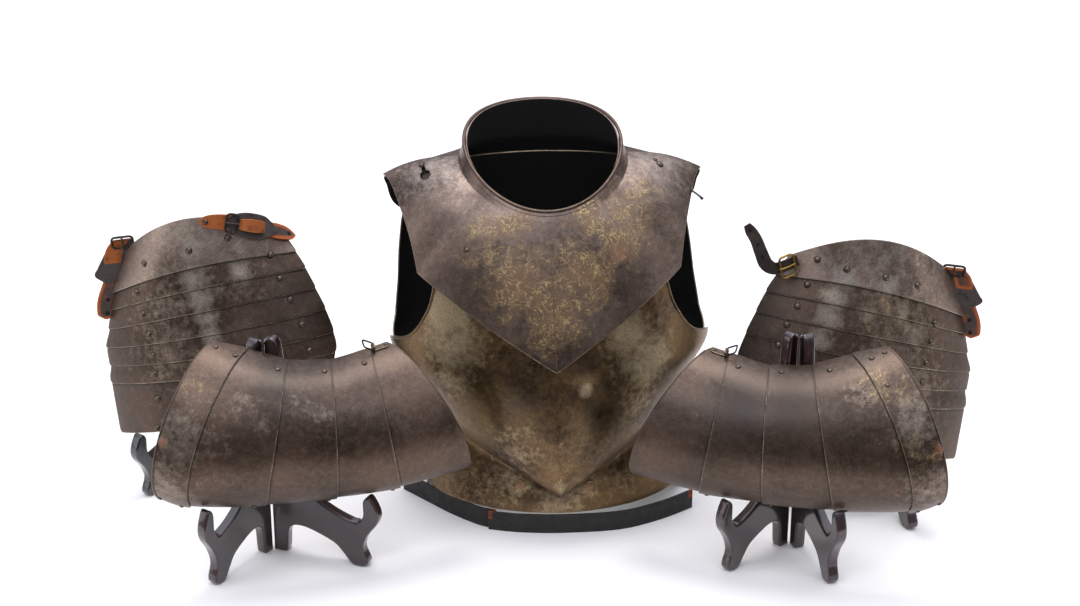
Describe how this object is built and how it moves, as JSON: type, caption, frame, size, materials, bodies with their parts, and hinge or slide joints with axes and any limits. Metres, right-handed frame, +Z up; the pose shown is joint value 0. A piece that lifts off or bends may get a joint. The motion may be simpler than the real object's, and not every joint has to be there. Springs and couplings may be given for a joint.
{
  "type": "half-plate armour set on display easels",
  "caption": "Half-plate armour: cuirass with gorget and belt, with laminated pauldrons and tassets resting on folding wooden display easels.",
  "frame": {"origin": "on the floor under the middle of the set's bounding box", "axes": "+X to the viewer's right, along the set's length; +Y away from the viewer; +Z up"},
  "size_m": [0.9722, 0.355, 0.4247],
  "materials": {
    "dark_steel": "old dark oxide skin on hammered steel, waxed",
    "breast_steel": "brown patinated steel, lightly pitted, worn bright on the high spots",
    "black_leather": "black grain face with raw tan edges",
    "tan_leather": "orange-tan flesh with dark grain patches",
    "buckle_iron": "blackened iron wire",
    "brass": "dull brass",
    "cherry_wood": "dark cherry lacquer, glossy",
    "black_wood": "black lacquer, glossy"
  },
  "bodies": {
    "set": {"breastplate": "breast_steel", "backplate": "breast_steel", "gorget_front": "dark_steel", "gorget_back": "dark_steel", "gorget_stud": "buckle_iron", "belt_front": "black_leather", "belt_side": "black_leather", "pauldron_left_lame_3": "dark_steel", "tasset_left_lame_1": "dark_steel", "tasset_left_lame_2": "dark_steel", "tasset_left_lame_3": "dark_steel", "tasset_left_lame_4": "dark_steel", "tasset_left_lame_5": "dark_steel", "tasset_left_lame_6": "dark_steel", "tasset_left_lame_7": "dark_steel", "tasset_left_side_strap": "tan_leather", "tasset_left_side_buckle": "buckle_iron", "tasset_left_top_strap": "tan_leather", "tasset_left_top_buckle": "buckle_iron", "pauldron_right_lame_3": "dark_steel", "tasset_right_lame_1": "dark_steel", "tasset_right_lame_2": "dark_steel", "tasset_right_lame_3": "dark_steel", "tasset_right_lame_4": "dark_steel", "tasset_right_lame_5": "dark_steel", "tasset_right_lame_6": "dark_steel", "tasset_right_lame_7": "dark_steel", "tasset_right_side_strap": "tan_leather", "tasset_right_side_buckle": "buckle_iron", "tasset_right_top_strap": "tan_leather", "tasset_right_top_buckle": "brass", "easel_front_left_a": "cherry_wood", "easel_front_left_b": "cherry_wood", "easel_front_right_a": "cherry_wood", "easel_front_right_b": "cherry_wood", "easel_rear_left_a": "black_wood", "easel_rear_left_b": "black_wood", "easel_rear_right_a": "cherry_wood", "easel_rear_right_b": "cherry_wood"},
    "pauldron_left_lame_1": {"pauldron_left_lame_1": "dark_steel"},
    "pauldron_left_lame_2": {"pauldron_left_lame_2": "dark_steel"},
    "pauldron_left_lame_4": {"pauldron_left_lame_4": "dark_steel"},
    "pauldron_left_lame_5": {"pauldron_left_lame_5": "dark_steel", "pauldron_left_tab": "tan_leather"},
    "pauldron_left_loop": {"pauldron_left_loop": "buckle_iron"},
    "pauldron_right_lame_1": {"pauldron_right_lame_1": "dark_steel"},
    "pauldron_right_lame_2": {"pauldron_right_lame_2": "dark_steel"},
    "pauldron_right_lame_4": {"pauldron_right_lame_4": "dark_steel"},
    "pauldron_right_lame_5": {"pauldron_right_lame_5": "dark_steel", "pauldron_right_tab": "tan_leather"},
    "pauldron_right_loop": {"pauldron_right_loop": "buckle_iron"}
  },
  "joints": [
    {"name": "pauldron_left_seam_2", "type": "hinge", "parent": "set", "child": "pauldron_left_lame_2", "pos_m": [-0.26467, -0.11956, 0.16044], "axis": [-0.1801, -0.2948, -0.9384], "range_deg": [-2, 2]},
    {"name": "pauldron_left_seam_1", "type": "hinge", "parent": "pauldron_left_lame_2", "child": "pauldron_left_lame_1", "pos_m": [-0.32139, -0.12773, 0.17028], "axis": [-0.3464, -0.3108, -0.8851], "range_deg": [-2, 2]},
    {"name": "pauldron_left_seam_3", "type": "hinge", "parent": "set", "child": "pauldron_left_lame_4", "pos_m": [-0.20816, -0.10587, 0.15496], "axis": [0.0121, -0.2555, -0.9667], "range_deg": [-2, 2]},
    {"name": "pauldron_left_seam_4", "type": "hinge", "parent": "pauldron_left_lame_4", "child": "pauldron_left_lame_5", "pos_m": [-0.15555, -0.08842, 0.15632], "axis": [0.1665, -0.2186, -0.9615], "range_deg": [-2, 2]},
    {"name": "pauldron_left_loop_hinge", "type": "hinge", "parent": "pauldron_left_lame_5", "child": "pauldron_left_loop", "pos_m": [-0.16147, -0.06287, 0.22937], "axis": [0.2474, -0.9532, -0.1736], "range_deg": [-30, 30]},
    {"name": "pauldron_right_seam_2", "type": "hinge", "parent": "set", "child": "pauldron_right_lame_2", "pos_m": [0.29867, -0.11956, 0.15444], "axis": [0.1801, -0.2948, -0.9384], "range_deg": [-2, 2]},
    {"name": "pauldron_right_seam_1", "type": "hinge", "parent": "pauldron_right_lame_2", "child": "pauldron_right_lame_1", "pos_m": [0.35539, -0.12773, 0.16428], "axis": [0.3464, -0.3108, -0.8851], "range_deg": [-2, 2]},
    {"name": "pauldron_right_seam_3", "type": "hinge", "parent": "set", "child": "pauldron_right_lame_4", "pos_m": [0.24216, -0.10587, 0.14896], "axis": [-0.0121, -0.2555, -0.9667], "range_deg": [-2, 2]},
    {"name": "pauldron_right_seam_4", "type": "hinge", "parent": "pauldron_right_lame_4", "child": "pauldron_right_lame_5", "pos_m": [0.18955, -0.08842, 0.15032], "axis": [-0.1665, -0.2186, -0.9615], "range_deg": [-2, 2]},
    {"name": "pauldron_right_loop_hinge", "type": "hinge", "parent": "pauldron_right_lame_5", "child": "pauldron_right_loop", "pos_m": [0.19547, -0.06287, 0.22337], "axis": [-0.2474, -0.9532, -0.1736], "range_deg": [-30, 30]}
  ]
}
